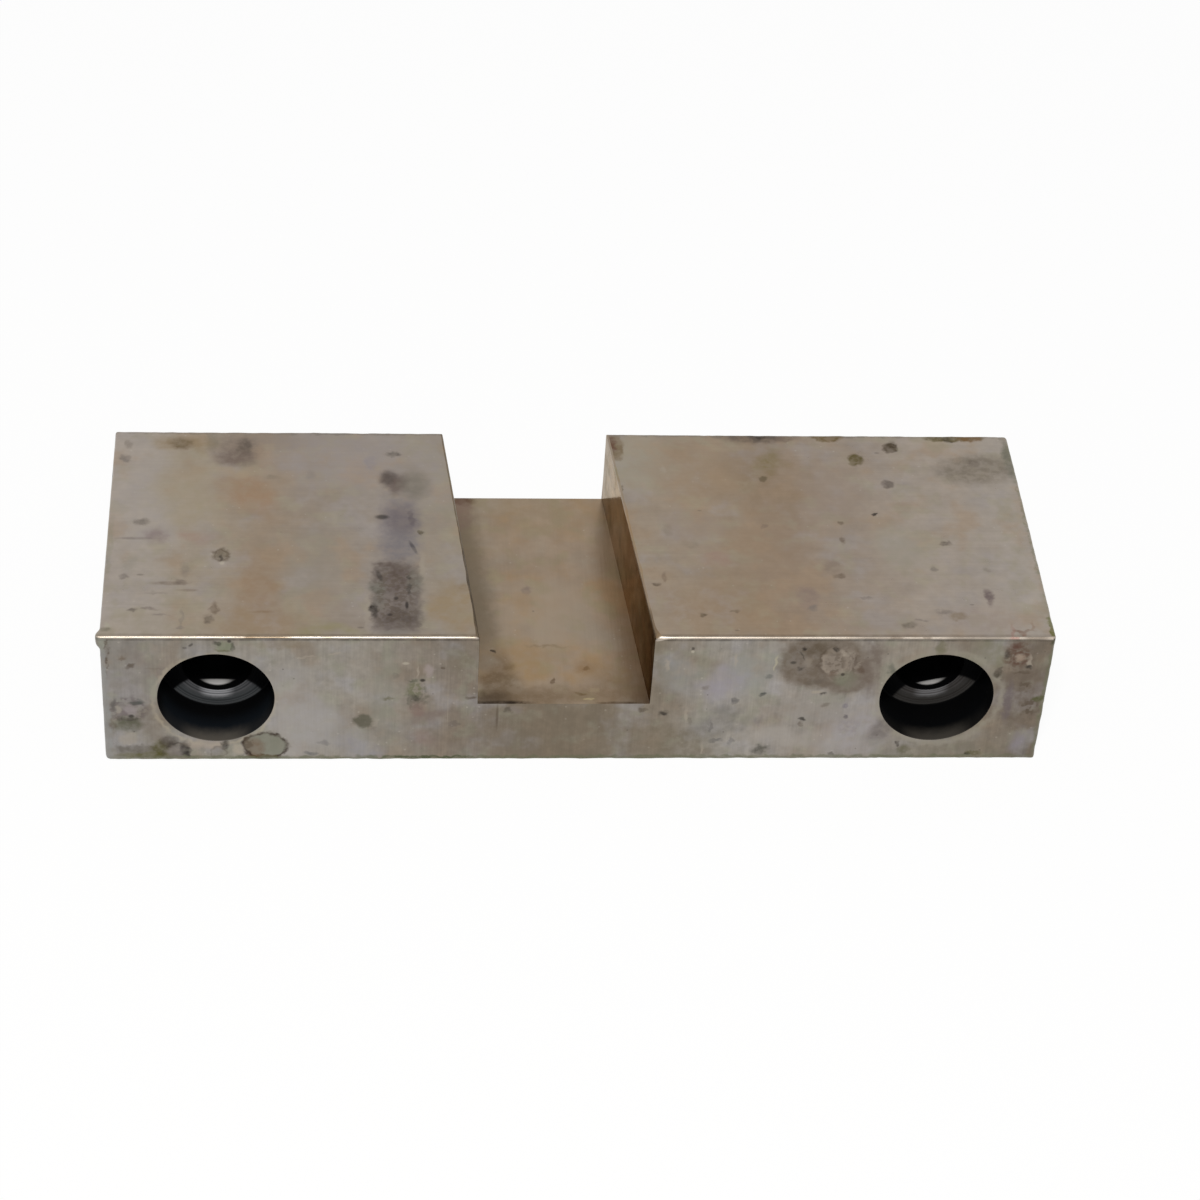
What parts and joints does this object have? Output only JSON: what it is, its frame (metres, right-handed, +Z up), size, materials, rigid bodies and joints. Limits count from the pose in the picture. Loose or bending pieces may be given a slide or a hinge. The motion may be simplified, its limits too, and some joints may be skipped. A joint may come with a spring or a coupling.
{
  "type": "machined mounting block",
  "caption": "Ground steel block with a skewed cross slot through its top and a counterbored bolt hole near each end.",
  "frame": {"origin": "middle of the underside, at the middle of the block's length and depth", "axes": "+X along the block's length; -Y out of the front face, which has the counterbores, and +Y out of the back face; +Z up, out of the slotted top"},
  "size_m": [0.144, 0.05, 0.025],
  "materials": {
    "ground_steel": "ground steel with a thin warm tarnish, water-spot rings, light pitting and dark oily bores"
  },
  "bodies": {
    "root": {"mounting_block": "ground_steel"}
  },
  "joints": []
}
